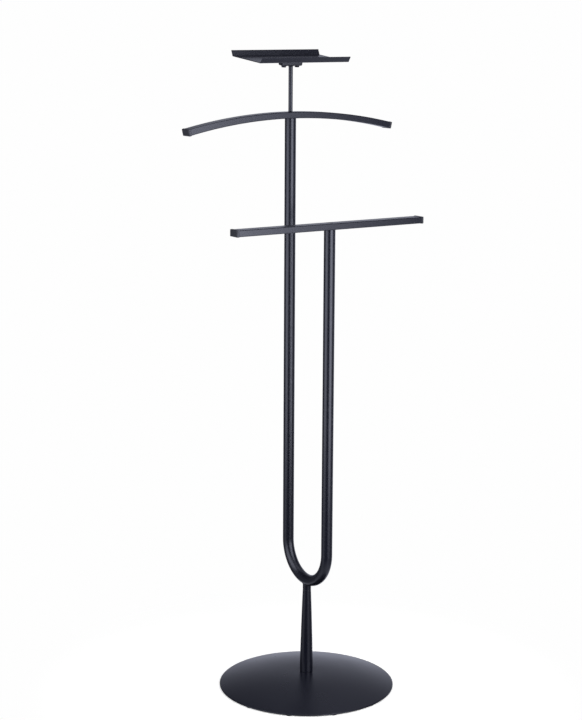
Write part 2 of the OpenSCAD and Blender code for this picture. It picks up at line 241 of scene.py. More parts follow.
# %% Powder coat finish
PEEL_SIZE = 2.6 * MM
GRAIN_SIZE = 0.5 * MM
CLOUD_SIZE = 60 * MM


def powder_coat():
    """Charcoal satin epoxy-polyester powder coat on steel."""
    material, tree = new_material("powder_coat_satin_charcoal")
    place = add(tree, "ShaderNodeTexCoord").outputs["Object"]
    peel = add(tree, "ShaderNodeTexNoise", {"Vector": place, "Scale": per_metre(PEEL_SIZE),
                                            "Detail": 2.0, "Roughness": 0.45})
    grain = add(tree, "ShaderNodeTexNoise", {"Vector": place, "Scale": per_metre(GRAIN_SIZE),
                                             "Detail": 1.0})
    cloud = add(tree, "ShaderNodeTexNoise", {"Vector": place, "Scale": per_metre(CLOUD_SIZE),
                                             "Detail": 3.0})
    tint = add(tree, "ShaderNodeMix", {"Factor": grain.outputs["Fac"], "A": linear("#0f1017"),
                                       "B": linear("#13141c")}, data_type="RGBA")
    gloss = add(tree, "ShaderNodeMapRange", {"Value": cloud.outputs["Fac"], "From Min": 0.3,
                                             "From Max": 0.7, "To Min": 0.27, "To Max": 0.31})
    fine = add(tree, "ShaderNodeBump", {"Strength": 0.2, "Distance": 0.002 * MM,
                                        "Height": grain.outputs["Fac"]})
    waves = add(tree, "ShaderNodeBump", {"Strength": 0.4, "Distance": 0.01 * MM,
                                         "Height": peel.outputs["Fac"],
                                         "Normal": fine.outputs["Normal"]})
    coat = add(tree, "ShaderNodeBsdfPrincipled",
               {"Base Color": tint.outputs["Result"], "Roughness": gloss.outputs["Result"],
                "IOR": 1.5, "Normal": waves.outputs["Normal"]})
    add(tree, "ShaderNodeOutputMaterial", {"Surface": coat.outputs["BSDF"]})
    return material


# %% [markdown]
# ## Moulded plastic, foam and plated steel
# The end caps are injection-moulded polyethylene with the dull spark-eroded grain of their
# mould. The pads are black EVA foam, cut from sheet, with open cells on their faces. Screws
# and plugs are zinc plated. The tray's nuts, washers and studs are black zinc, which is the
# same plating under a dark chromate film.

# %% Small finishes
MOULD_GRAIN = 0.35 * MM
FOAM_CELL = 0.7 * MM
PLATING_STREAK = 0.25 * MM


def cap_plastic():
    """Moulded black polyethylene with a spark-eroded grain."""
    material, tree = new_material("polyethylene_moulded_black")
    place = add(tree, "ShaderNodeTexCoord").outputs["Object"]
    grain = add(tree, "ShaderNodeTexNoise", {"Vector": place, "Scale": per_metre(MOULD_GRAIN),
                                             "Detail": 2.0})
    tint = add(tree, "ShaderNodeMix", {"Factor": grain.outputs["Fac"], "A": linear("#1b1b1d"),
                                       "B": linear("#232326")}, data_type="RGBA")
    bump = add(tree, "ShaderNodeBump", {"Strength": 0.4, "Distance": 0.04 * MM,
                                        "Height": grain.outputs["Fac"]})
    skin = add(tree, "ShaderNodeBsdfPrincipled",
               {"Base Color": tint.outputs["Result"], "Roughness": 0.48, "IOR": 1.51,
                "Normal": bump.outputs["Normal"]})
    add(tree, "ShaderNodeOutputMaterial", {"Surface": skin.outputs["BSDF"]})
    return material


def pad_foam():
    """Black closed-cell EVA foam: cells are the hollows of a Voronoi pattern, and the colour is
    painted darker towards their middles as painted shade in the hollows.
    """
    material, tree = new_material("eva_foam_cut_black")
    place = add(tree, "ShaderNodeTexCoord").outputs["Object"]
    cells = add(tree, "ShaderNodeTexVoronoi", {"Vector": place, "Scale": per_metre(FOAM_CELL)})
    # Painted shade: the foam's colour goes from near black in the middle of each cell hollow to
    # grey at the raised cell walls.
    tint = add(tree, "ShaderNodeMix", {"Factor": cells.outputs["Distance"],
                                       "A": linear("#101011"), "B": linear("#2a2a2b")},
               data_type="RGBA")
    bump = add(tree, "ShaderNodeBump", {"Strength": 0.8, "Distance": 0.2 * MM,
                                        "Height": cells.outputs["Distance"]})
    foam = add(tree, "ShaderNodeBsdfPrincipled",
               {"Base Color": tint.outputs["Result"], "Roughness": 0.95,
                "Normal": bump.outputs["Normal"]})
    add(tree, "ShaderNodeOutputMaterial", {"Surface": foam.outputs["BSDF"]})
    return material


def plated_steel(name, light, dark, roughness):
    """Plated steel: metal whose colour drifts between two shades along fine streaks."""
    material, tree = new_material(name)
    place = add(tree, "ShaderNodeTexCoord").outputs["Object"]
    streak = add(tree, "ShaderNodeTexNoise",
                 {"Vector": place, "Scale": per_metre(PLATING_STREAK), "Detail": 3.0})
    tint = add(tree, "ShaderNodeMix", {"Factor": streak.outputs["Fac"], "A": linear(dark),
                                       "B": linear(light)}, data_type="RGBA")
    bump = add(tree, "ShaderNodeBump", {"Strength": 0.2, "Distance": 0.02 * MM,
                                        "Height": streak.outputs["Fac"]})
    metal = add(tree, "ShaderNodeBsdfPrincipled",
                {"Base Color": tint.outputs["Result"], "Metallic": 1.0,
                 "Roughness": roughness, "Normal": bump.outputs["Normal"]})
    add(tree, "ShaderNodeOutputMaterial", {"Surface": metal.outputs["BSDF"]})
    return material


finish_of = {
    "powder_coat": powder_coat(),
    "cap_plastic": cap_plastic(),
    "pad_foam": pad_foam(),
    "zinc_steel": plated_steel("zinc_plated_steel", "#c4c6c8", "#a2a4a6", 0.35),
    "black_zinc": plated_steel("black_zinc_plated_steel", "#303034", "#1c1c20", 0.4),
}
print("finishes:", ", ".join(material.name for material in finish_of.values()))


# %% Dress a piece
def dress(piece, slot, *nodes):
    """Gives a piece its finish and its place in the table, and lets it stand for nodes."""
    piece.data.materials.append(finish_of[slot])
    even = piece.modifiers.new("even_shading", "WEIGHTED_NORMAL")
    even.keep_sharp = True
    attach(piece, "root")
    if nodes:
        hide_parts(*nodes)
    print(f"{piece.name}: {len(piece.data.polygons)} faces, {slot}")


# %% [markdown]
# ## Foot plate
# The foot is a disc of 2.5 mm sheet pressed to a shallow dome, which stiffens it and lets
# it stand on its rim. The upper side is level under the stem, then falls to the rim along an
# arc. With the arc's run L and the dome's rise H its radius is (L^2 + H^2) / (2 H). Pressing
# and coating leave the rim's edges round. The profile is one closed line with the screw's
# hole in its middle, so turning it makes a true shell with no hidden faces.

# %% Make the foot plate
PLATE_T = 2.5 * MM
PLATE_EDGE = 0.8 * MM
HOLE_CLEARANCE = 0.25 * MM
stud_low, stud_high = corners("joining_stud")
hole_r = stud_high[0] + HOLE_CLEARANCE
plate_r, rim_z, crown_z = plate_high[:2].min(), plate_low[2], plate_high[2]
plate_points = node_points("base_plate")
plate_reach = np.hypot(plate_points[:, 0], plate_points[:, 1])
crown_r = plate_reach[plate_points[:, 2] > crown_z - MM / 1000].max()
DOME_RISE = crown_z - rim_z - PLATE_T
DOME_R = ((plate_r - crown_r) ** 2 + DOME_RISE ** 2) / (2 * DOME_RISE)


def dome_height(reach):
    """Height of the plate's upper side at a distance from the axis: the crown less
    R - sqrt(R^2 - u^2), where u is how far the distance runs past the crown's land."""
    past = np.maximum(reach - crown_r, 0)
    return crown_z - DOME_R + np.sqrt(DOME_R ** 2 - past ** 2)


top_reach = np.concatenate([[hole_r], np.linspace(crown_r, plate_r - PLATE_EDGE, 49)])
edge_z = rim_z + PLATE_T - PLATE_EDGE
plate_profile = np.vstack([
    np.column_stack([top_reach, dome_height(top_reach)]),
    arc((plate_r - PLATE_EDGE, edge_z), PLATE_EDGE, 60, 0, 5),
    arc((plate_r - PLATE_EDGE, rim_z + PLATE_EDGE), PLATE_EDGE, 0, -90, 6),
    np.column_stack([top_reach, dome_height(top_reach) - PLATE_T])[-2::-1]])
plate = piece_mesh("foot_plate", [(turned(plate_profile, 256), True, True)])
dress(plate, "powder_coat", "base_plate")
print(f"dome rises {DOME_RISE / MM:.1f} mm on an arc of {DOME_R / MM:.0f} mm")

# %% [markdown]
# ## Foam pads
# Six pads keep the rim off the floor. Each is a plug of foam glued into the angle between
# the dome and the floor, so its top follows the plate's lower side. Its cut edge bulges a
# little under the stand's weight: the radius follows half a sine wave up its height.

# %% Make the pads
PAD_BULGE = 0.3 * MM
pad_points = node_points("base_pads")
pad_angle = np.arctan2(pad_points[:, 1], pad_points[:, 0])
pad_reach = np.hypot(pad_points[:, 0], pad_points[:, 1])
pad_r = (pad_reach.max() - pad_reach.min()) / 2
pad_ring_r = (pad_reach.max() + pad_reach.min()) / 2
outer = pad_reach > pad_ring_r + 0.9 * pad_r
pad_count = len(np.unique(np.round(pad_angle[outer] / math.radians(20))))
share = np.concatenate([[0], np.linspace(0, 1, 9), [1]])[:, None]
width = np.concatenate([[0], np.ones(9), [0]])[:, None]
pad_grids = []
for number in range(pad_count):
    turn = 2 * math.pi * (number + 0.5) / pad_count
    radius = width * (pad_r - PAD_BULGE * (1 - np.sin(np.pi * share)))
    pad_x = pad_ring_r * math.cos(turn) + radius * circle(1, 48)[:, 0]
    pad_y = pad_ring_r * math.sin(turn) + radius * circle(1, 48)[:, 1]
    pad_z = share * (dome_height(np.hypot(pad_x, pad_y)) - PLATE_T)
    pad_grids.append((np.stack([pad_x, pad_y, pad_z], axis=-1), False, True))
pads = piece_mesh("foam_pads", pad_grids)
dress(pads, "pad_foam", "base_pads")
print(f"{pad_count} pads of {2 * pad_r / MM:.1f} mm")

# %% [markdown]
# ## Stem
# The stem is turned from tube: a round foot swells to a belly, then a long taper runs up to
# the joint. The radii at the foot, the belly and the joint are read from the frame. Below
# the belly the side is an arc that is upright at the belly, and above it the side is a
# straight line that bows out by a fraction of a millimetre. Both ends have a small round
# edge, so the joint to the neck shows as the thin dark line that the real one has.

# %% Make the stem
STEM_BOW = 0.3 * MM
STEM_WALL = 2 * MM
JOINT_ROUND = 0.45 * MM
stem_points = node_points("stem")
stem_reach = np.hypot(stem_points[:, 0], stem_points[:, 1])
stem_z0, stem_z1 = stem_points[:, 2].min(), stem_points[:, 2].max()
foot_r = stem_reach[stem_points[:, 2] < stem_z0 + MM / 10].max()
joint_r = stem_reach[stem_points[:, 2] > stem_z1 - MM / 10].max()
belly_r = stem_reach.max()
belly_z = stem_points[stem_reach.argmax(), 2]
drop = belly_z - stem_z0
arc_r = (drop ** 2 + (belly_r - foot_r) ** 2) / (2 * (belly_r - foot_r))
foot_z = np.linspace(stem_z0, belly_z, 25)
foot_side = belly_r - arc_r + np.sqrt(arc_r ** 2 - (belly_z - foot_z) ** 2)
share = np.linspace(0, 1, 41)[1:]
taper_z = belly_z + (stem_z1 - belly_z) * share
taper_side = belly_r + (joint_r - belly_r) * share + 4 * STEM_BOW * share * (1 - share)
side = np.column_stack([np.append(foot_side, taper_side), np.append(foot_z, taper_z)])
inside = side[::-1] - [STEM_WALL, 0]
stem_profile = np.vstack([
    arc((foot_r - JOINT_ROUND, stem_z0 + JOINT_ROUND), JOINT_ROUND, -90, 0, 5),
    side[1:-1],
    arc((joint_r - JOINT_ROUND, stem_z1 - JOINT_ROUND), JOINT_ROUND, 0, 90, 5),
    inside])
stem = piece_mesh("turned_stem", [(turned(stem_profile), True, True)])
dress(stem, "powder_coat", "stem")
print(f"stem radii {foot_r / MM:.2f}, {belly_r / MM:.2f} and {joint_r / MM:.2f} mm,"
      f" belly {drop / MM:.1f} mm above the plate")

# %% [markdown]
# ## U tube
# One round tube makes both arms and the bend between them. Its path is a straight line, half
# a circle and a straight line, all in the front-to-back plane. A circle is carried along
# the path for the outside and a smaller one back again for the inside, so the wall is one
# closed sheet and the tube is hollow like the real one.

# %% Make the U tube
TUBE_WALL = 1.5 * MM
ARM_ROWS = 25
BEND_ROWS = 97
front_arm_z = corners("trouser_bar")[0][2]
bend = np.radians(np.linspace(0, -180, BEND_ROWS))
along_y = np.concatenate([np.full(ARM_ROWS, REAR_Y), BEND_R * np.cos(bend)[1:-1],
                          np.full(ARM_ROWS, FRONT_Y)])
along_z = np.concatenate([np.linspace(tube_high[2], BEND_Z, ARM_ROWS),
                          BEND_Z + BEND_R * np.sin(bend)[1:-1],
                          np.linspace(BEND_Z, front_arm_z, ARM_ROWS)])
outward = np.concatenate([np.zeros(ARM_ROWS - 1), bend, np.full(ARM_ROWS - 1, -np.pi)])
tube_path = np.column_stack([np.zeros(len(along_y)), along_y, along_z])
tube_up = np.column_stack([np.zeros(len(outward)), np.cos(outward), np.sin(outward)])
tube_side = [1, 0, 0]
outside = carried(circle(TUBE_R), tube_path, tube_side, tube_up)
inside = carried(circle(TUBE_R - TUBE_WALL), tube_path, tube_side, tube_up)
tube = piece_mesh("bent_u_tube", [(np.vstack([outside, inside[::-1]]), True, True)])
dress(tube, "powder_coat", "u_tube")

# %% [markdown]
# ## Neck and its weld
# A short socket is welded under the bend. Its top is coped to the tube, so the seam is a
# saddle: the height where an upright line at (x, y) meets the bend's underside. A concave
# fillet of weld metal runs round it, and faint ripples show each step of the torch.

# %% Make the neck
WELD_LEG = 2.0 * MM
WELD_RIPPLE = 0.10 * MM
RIPPLES = 34
neck_low, neck_high = corners("neck")
neck_r, neck_z0 = neck_high[0], neck_low[2]


def bend_underside(x, y):
    """Height of the bend's underside above (x, y): the ring of radius BEND_R + s round
    the bend's centre, where s = sqrt(TUBE_R^2 - x^2)."""
    ring = BEND_R + np.sqrt(TUBE_R ** 2 - x ** 2)
    return BEND_Z - np.sqrt(ring ** 2 - y ** 2)


around = circle(1, 144)
turn = np.arctan2(around[:, 1], around[:, 0])
swing = np.radians(np.linspace(0, 90, 11))[:, None]
weld_r = neck_r + WELD_LEG * (1 - np.cos(swing))
weld_r = weld_r + WELD_RIPPLE * np.sin(2 * swing) * np.sin(RIPPLES * turn)
weld_seam = bend_underside(weld_r * around[:, 0], weld_r * around[:, 1])
weld_z = weld_seam - WELD_LEG * (1 - np.sin(swing))
weld = np.stack([weld_r * around[:, 0], weld_r * around[:, 1], weld_z], axis=-1)
neck_edge = arc((neck_r - JOINT_ROUND, neck_z0 + JOINT_ROUND), JOINT_ROUND, -90, 0, 5)
bore = hole_r * around
bore_top = np.column_stack([bore, bend_underside(bore[:, 0], bore[:, 1])])
bore_low = np.column_stack([bore, np.full(len(bore), neck_z0)])
neck_points = np.vstack([turned(neck_edge, 144), weld, bore_top[None], bore_low[None]])
neck = piece_mesh("welded_neck", [(neck_points, True, True)])
dress(neck, "powder_coat", "neck")

# %% [markdown]
# ## Bars
# Both bars are the same rectangular tube. The trouser bar is straight. The hanger is rolled
# to an arc, and its radius follows from its box: with tip x at X, height from lower corner
# to crown D and bar height h, the half angle a obeys X tan(a / 2) + h cos a = D, which a
# few rounds of substitution solve.

# %% Make the bars
BAR_EDGE_R = 1.8 * MM
BAR_WALL = 1.5 * MM
bar_low, bar_high = corners("trouser_bar")
BAR_W, BAR_H = (bar_high - bar_low)[1:]
TROUSER_Z = (bar_low[2] + bar_high[2]) / 2
outer_section = round_rect(BAR_W, BAR_H, BAR_EDGE_R)
inner_section = round_rect(BAR_W - 2 * BAR_WALL, BAR_H - 2 * BAR_WALL, BAR_EDGE_R - BAR_WALL)


def hollow_bar(name, path, side, up):
    """Rectangular tube: the outer section carried along the path and the inner one back."""
    shell = carried(outer_section, path, side, up)
    core = carried(inner_section, path, side, up)
    return piece_mesh(name, [(np.vstack([shell, core[::-1]]), True, True)])


bar_x = np.linspace(bar_low[0], bar_high[0], 33)
bar_path = np.column_stack([bar_x, np.full(33, FRONT_Y), np.full(33, TROUSER_Z)])
trouser_bar = hollow_bar("trouser_rail", bar_path, [0, 1, 0], [0, 0, 1])
dress(trouser_bar, "powder_coat", "trouser_bar")

hanger_low, hanger_high = corners("hanger_bar")
rise = hanger_high[2] - hanger_low[2]
half_tan = (rise - BAR_H) / hanger_high[0]
for _ in range(8):
    half_cos = (1 - half_tan ** 2) / (1 + half_tan ** 2)
    half_tan = (rise - BAR_H * half_cos) / hanger_high[0]
HANGER_HALF = 2 * math.atan(half_tan)
HANGER_R = hanger_high[0] / math.sin(HANGER_HALF) - BAR_H / 2
HANGER_AXIS_Z = hanger_high[2] - HANGER_R - BAR_H / 2


def hanger_place(angle):
    """Point on the hanger's middle line and its upward normal, at an angle from upright."""
    up = np.stack([np.sin(angle), 0 * angle, np.cos(angle)], axis=-1)
    return up * HANGER_R + [0, REAR_Y, HANGER_AXIS_Z], up


hanger_path, hanger_up = hanger_place(np.linspace(-HANGER_HALF, HANGER_HALF, 97))
hanger = hollow_bar("arched_hanger", hanger_path, [0, 1, 0], hanger_up)
dress(hanger, "powder_coat", "hanger_bar")
print(f"bar {BAR_W / MM:.1f} x {BAR_H / MM:.1f} mm, hanger radius {HANGER_R / MM:.1f} mm,"
      f" half angle {math.degrees(HANGER_HALF):.2f} degrees")

# %% [markdown]
# ## End caps
# A moulded cap closes each bar end: a head that stands a little proud, and a plain plug inside
# that clears the bar's wall by a small gap. The cap is a loft, one section after the other
# along its axis. The head's outer edges follow a quarter circle, because each section there is
# inset by r (1 - cos) while it moves out by r sin.

# %% Make the caps
CAP_PROUD = 0.48 * MM
CAP_EDGE_R = 1.4 * MM
CAP_BACK_R = 0.3 * MM
CAP_PLUG = 14 * MM
CAP_GAP = 0.2 * MM
cap_low, cap_high = corners("trouser_cap_right")
CAP_HEAD = cap_high[0] - bar_high[0]


def cap_sections():
    """Distance from the bar's end and section for each row, from plug tip to face."""
    plug_w = BAR_W - 2 * BAR_WALL - 2 * CAP_GAP
    plug_h = BAR_H - 2 * BAR_WALL - 2 * CAP_GAP
    plug = round_rect(plug_w, plug_h, CAP_BACK_R)
    reach = [-CAP_PLUG, -CAP_PLUG, 0.0]
    rows = [plug * 0, plug, plug]
    edges = [(CAP_BACK_R, -1, swing) for swing in np.linspace(90, 0, 5)]
    edges += [(CAP_EDGE_R, 1, swing) for swing in np.linspace(0, 90, 9)]
    for radius, way, swing in edges:
        inset = radius * (1 - math.cos(math.radians(swing)))
        ahead = radius * math.sin(math.radians(swing))
        corner = max(CAP_EDGE_R - inset, CAP_BACK_R)
        reach.append(CAP_HEAD - radius + ahead if way > 0 else radius - ahead)
        rows.append(round_rect(BAR_W + 2 * CAP_PROUD - 2 * inset,
                               BAR_H + 2 * CAP_PROUD - 2 * inset, corner))
    reach.append(CAP_HEAD)
    rows.append(rows[-1] * 0)
    return np.array(reach), np.array(rows)


def bar_cap(name, end, ahead, up, node):
    """Cap on a bar's end: the loft carried from the end point along the way ahead."""
    reach, rows = cap_sections()
    path = end + reach[:, None] * ahead
    cap = piece_mesh(name, [(carried(rows, path, [0, 1, 0], up), False, True)])
    dress(cap, "cap_plastic", node)


for way, word in ((-1, "left"), (1, "right")):
    ahead = np.array([way, 0.0, 0.0])
    rail_end = np.array([way * bar_high[0], FRONT_Y, TROUSER_Z])
    bar_cap(f"rail_cap_{word}", rail_end, ahead, [0, 0, 1], f"trouser_cap_{word}")
    tip, tip_up = hanger_place(np.array(way * HANGER_HALF))
    tip_ahead = way * np.array([tip_up[2], 0, -tip_up[0]])
    bar_cap(f"hanger_tip_{word}", tip, tip_ahead, tip_up, f"hanger_cap_{word}")

# %% [markdown]
# ## Cover plug
# A round plastic plug closes the hole through which the trouser bar's screw is driven. It
# is pressed in flush, and its face is a very flat dome.

# %% Make the cover plug
COVER_CROWN = 0.2 * MM
cover_low, cover_high = corners("trouser_cover")
cover_r = cover_high[0]
share = np.linspace(0, 1, 9)
cover_profile = np.vstack([
    [[0, cover_low[2]], [cover_r, cover_low[2]]],
    np.column_stack([cover_r * (1 - share),
                     cover_high[2] + COVER_CROWN * np.sin(np.pi / 2 * share)])])
cover = piece_mesh("rail_cover_plug", [(turned(cover_profile, 64, FRONT_Y), False, True)])
dress(cover, "cap_plastic", "trouser_cover")

# %% [markdown]
# ## The tray's own frame
# The tray leans forward by a few degrees. Its two lip tips are alike, so the line between
# the foremost and the rearmost point of the tray gives the lean. Everything bolted to the
# tray is made upright round the rod's axis and leaned by one function.

# %% Measure the lean
tray_points = node_points("tray")
foremost = tray_points[tray_points[:, 1].argmin()]
rearmost = tray_points[tray_points[:, 1].argmax()]
TILT = math.atan2(rearmost[2] - foremost[2], rearmost[1] - foremost[1])


def lean(points, origin_z=0.0):
    """Points of the tray's frame in the stand's frame: turned by TILT about the X axis
    and put on the rod's axis at the given height."""
    x, y, z = np.moveaxis(np.asarray(points, float), -1, 0)
    leaned_y = y * math.cos(TILT) - z * math.sin(TILT) + REAR_Y
    leaned_z = y * math.sin(TILT) + z * math.cos(TILT) + origin_z
    return np.stack([x, leaned_y, leaned_z], axis=-1)


def upright(points, origin_z=0.0):
    """The way back from the stand's frame to the tray's frame."""
    x, y, z = np.moveaxis(np.asarray(points, float) - [0, REAR_Y, origin_z], -1, 0)
    return np.stack([x, y * math.cos(TILT) + z * math.sin(TILT),
                     z * math.cos(TILT) - y * math.sin(TILT)], axis=-1)


TRAY_Z = upright(tray_points)[:, 2].min() / math.cos(TILT)
print(f"tray leans {math.degrees(TILT):.2f} degrees, floor {TRAY_Z / MM:.2f} mm up")

# %% [markdown]
# ## Tray
# The tray is bent from sheet, so it is a middle line carried across and given its thickness
# by a Solidify modifier, and a Bevel modifier breaks the sheared edges. The bends are arcs:
# a press brake leaves a round bend of about the sheet's own thickness.

# %% Make the tray
TRAY_T = 1.5 * MM
LIP_FLARE = 29
LIP_BEND = 1.5 * MM
SHEARED_EDGE = 0.35 * MM
tray_box = upright(tray_points, TRAY_Z)
tip_y, tip_z = tray_box[:, 1].max(), tray_box[:, 2].max()
lip_turn = 90 - LIP_FLARE
mid_r = LIP_BEND + TRAY_T / 2
tip_back = np.array([-math.sin(math.radians(lip_turn)), math.cos(math.radians(lip_turn))])
tip_mid = np.array([tip_y, tip_z - TRAY_T * tip_back[1]]) + TRAY_T / 2 * tip_back
lip_way = np.array([tip_back[1], -tip_back[0]])
arc_end = np.array([0, LIP_BEND + TRAY_T]) - mid_r * tip_back
lip_length = (tip_mid[1] - arc_end[1]) / lip_way[1]
bend_y = tip_mid[0] - arc_end[0] - lip_length * lip_way[0]
bend_line = arc((bend_y, LIP_BEND + TRAY_T), mid_r, -90, -90 + lip_turn, 10)
lip_line = np.vstack([bend_line, bend_line[-1] + lip_length * lip_way])
floor_line = np.vstack([lip_line[::-1] * [-1, 1], lip_line])
across = np.linspace(tray_box[:, 0].min(), tray_box[:, 0].max(), 25)[:, None]
sheet = np.insert(np.broadcast_to(floor_line, (25,) + floor_line.shape), 0, across, axis=2)
tray = piece_mesh("bent_tray", [(lean(sheet, TRAY_Z), False, False)], closed=False)
wall = tray.modifiers.new("sheet", "SOLIDIFY")
wall.thickness = TRAY_T
wall.offset = 0.0
wall.use_even_offset = True
edge = tray.modifiers.new("sheared_edge", "BEVEL")
edge.width = SHEARED_EDGE
edge.segments = 3
edge.limit_method = "ANGLE"
edge.angle_limit = math.radians(60)
dress(tray, "powder_coat", "tray")
print(f"tray floor {2 * bend_y / MM:.1f} mm between the bends, lip {lip_length / MM:.1f} mm")

# %% [markdown]
# ## Bracket
# The tray sits on a shallow pressed pan that is welded on the rod. The pan is a loft of
# round-cornered rectangles: its ends splay outward, and its lower edge follows a quarter
# circle, where each section is inset by r (1 - cos) while it moves down by r sin. The inner
# wall is the same loft, smaller by the sheet's thickness, so the pan is one closed shell.

# %% Make the bracket
PAN_T = 2.5 * MM
PAN_ROUND = 2.5 * MM
PAN_CORNER = 2.0 * MM
PAN_INNER = 0.4 * MM
bracket_box = upright(node_points("tray_bracket"), TRAY_Z)
pan_depth, pan_w = -bracket_box[:, 2].min(), 2 * bracket_box[:, 1].max()
pan_l = 2 * bracket_box[:, 0].max()
pan_low_l = 2 * bracket_box[bracket_box[:, 2] < MM / 10 - pan_depth, 0].max()


def pan_rings(smaller, depth, radius, corner):
    """Rings from the pan's rim to its floor and the pole that closes it. A ring at depth
    d is as long as the line from the rim's length to the floor's length says."""
    swing = np.radians(np.linspace(0, 90, 7))
    down = np.append(0, depth - radius + radius * np.sin(swing))
    inset = smaller + np.append(0, radius * (1 - np.cos(swing)))
    rings = []
    for d, cut in zip(down, inset):
        length = pan_l + (pan_low_l - pan_l) * d / pan_depth - 2 * cut
        ring = round_rect(length, pan_w - 2 * cut, max(corner - cut + smaller, PAN_INNER / 2))
        rings.append(np.column_stack([ring, np.full(len(ring), -d)]))
    rings.append(rings[-1] * [0, 0, 1])
    return np.array(rings)


pan_outside = pan_rings(0.0, pan_depth, PAN_ROUND, PAN_CORNER)
pan_inside = pan_rings(PAN_T, pan_depth - PAN_T, PAN_INNER, PAN_INNER)
pan_grid = np.vstack([pan_inside[::-1], pan_outside])
pan = piece_mesh("tray_pan", [(lean(pan_grid, TRAY_Z), False, True)])
dress(pan, "powder_coat", "tray_bracket")

# %% [markdown]
# ## Rod
# A thin rod holds the tray. Its threaded lower end goes through the hanger into the arm's
# plug, so it clamps the hanger as well. At the top a fillet of weld joins it to the pan.
# The top is cut to the tray's lean: each of its rings is raised by y tan(lean).

# %% Make the rod
THREAD_R = 3 * MM
ROD_BOTTOM_ROUND = 0.6 * MM
rod_points = node_points("tray_rod")
rod_z0 = rod_points[:, 2].min()
rod_top_z = TRAY_Z + (bracket_box[:, 2].min()) / math.cos(TILT)
lower_half = rod_points[rod_points[:, 2] < (hanger_high[2] + rod_top_z) / 2]
ROD_R = np.abs(lower_half[:, 0]).max()
FLARE_R = np.abs(rod_points[:, 0]).max()
FLARE_H = 1.5 * (FLARE_R - ROD_R)
swing = np.radians(np.linspace(0, 90, 11))
flare = np.column_stack([ROD_R + (FLARE_R - ROD_R) * (1 - np.cos(swing)),
                         rod_top_z - FLARE_H * (1 - np.sin(swing))])
shank_z = np.linspace(hanger_high[2] + ROD_BOTTOM_ROUND, rod_top_z - FLARE_H, 25)[:-1]
rod_profile = np.vstack([
    [[0, rod_z0], [THREAD_R, rod_z0], [THREAD_R, hanger_high[2]]],
    arc((ROD_R - ROD_BOTTOM_ROUND, hanger_high[2] + ROD_BOTTOM_ROUND), ROD_BOTTOM_ROUND,
        -90, 0, 5)[:-1],
    np.column_stack([np.full(len(shank_z), ROD_R), shank_z]),
    flare,
    [[0, rod_top_z]]])
rod_grid = turned(rod_profile, 96, REAR_Y)
raised = np.clip((rod_profile[:, 1] - rod_top_z + 2 * FLARE_H) / FLARE_H, 0, 1)
rod_grid[..., 2] += raised[:, None] * (rod_grid[..., 1] - REAR_Y) * math.tan(TILT)
rod = piece_mesh("welded_rod", [(rod_grid, False, True)])
dress(rod, "powder_coat", "tray_rod")

# %% [markdown]
# ## Studs, washers and nuts
# Two studs are welded under the tray, and a nut with a washer on each clamps the pan. A
# thread is the stud's radius less a triangle wave of z / pitch - turn, so one formula cuts
# the whole helix. A nut is a hexagon whose corners are cut back by a chamfer cone: at each
# height its radius is the smaller of the two.

# %% Make the fasteners
PITCH = 0.8 * MM
THREAD_DEPTH = 0.45 * MM
NUT_BORE_GAP = 0.05 * MM
WASHER_ROUND = 0.2 * MM
CHAMFER_START = 0.96
CHAMFER_SLOPE = math.tan(math.radians(60))
stud_box = upright(node_points("tray_studs"), TRAY_Z)
nut_box = upright(node_points("tray_nuts"), TRAY_Z)
washer_box = upright(node_points("tray_washers"), TRAY_Z)
STUD_R = stud_box[:, 1].max()
STUD_X = stud_box[:, 0].max() - STUD_R


def stud_grid():
    """Threaded rod from the tray down to its free end, with a conical tip."""
    low, high = stud_box[:, 2].min(), stud_box[:, 2].max()
    z = np.linspace(low, high, 12 * int((high - low) / PITCH))[:, None]
    turn = np.linspace(0, 1, 48, endpoint=False)
    wave = 2 * np.abs((z / PITCH - turn) % 1 - 0.5)
    radius = STUD_R - THREAD_DEPTH * wave
    radius = np.minimum(radius, STUD_R - THREAD_DEPTH + (z - low))
    ring = circle(1, 48)
    wall = np.stack([radius * ring[:, 0], radius * ring[:, 1], z + 0 * turn], axis=-1)
    tip = np.broadcast_to([0, 0, low], (1, 48, 3))
    root = np.broadcast_to([0, 0, high], (1, 48, 3))
    return np.vstack([tip, wall, root])


def nut_grid():
    """Hexagon nut: min(flat / cos(turn from the flat's middle), chamfer cone) by height."""
    low, high = nut_box[:, 2].min(), nut_box[:, 2].max()
    flat = nut_box[:, 1].max()
    ease = np.linspace(0, 1, 9) ** 1.5 * (high - low) / 5
    z = np.concatenate([low + ease, high - ease[::-1]])[:, None]
    turn = np.radians(np.linspace(0, 360, 144, endpoint=False))
    hexagon = flat / np.cos((turn + math.radians(30)) % math.radians(60) - math.radians(30))
    cone = flat * CHAMFER_START + CHAMFER_SLOPE * np.minimum(z - low, high - z)
    radius = np.minimum(hexagon_turned(hexagon), cone)
    ring = circle(1, 144)
    wall = np.stack([radius * ring[:, 0], radius * ring[:, 1], z + 0 * turn], axis=-1)
    hole = (STUD_R + NUT_BORE_GAP) * ring
    bottom = np.column_stack([hole, np.full(144, low)])
    top = np.column_stack([hole, np.full(144, high)])
    return np.vstack([bottom[None], wall, top[None]])


def hexagon_turned(hexagon):
    """The hexagon's radii, rolled so that two of its flats face front and back."""
    return np.roll(hexagon, len(hexagon) // 12)


washer_z0, washer_z1 = washer_box[:, 2].min(), washer_box[:, 2].max()
washer_r = washer_box[:, 1].max()
washer_in = STUD_R + HOLE_CLEARANCE
washer_profile = np.vstack([
    [[washer_in, washer_z0]],
    arc((washer_r - WASHER_ROUND, washer_z0 + WASHER_ROUND), WASHER_ROUND, -90, 0, 4),
    arc((washer_r - WASHER_ROUND, washer_z1 - WASHER_ROUND), WASHER_ROUND, 0, 90, 4),
    [[washer_in, washer_z1]]])


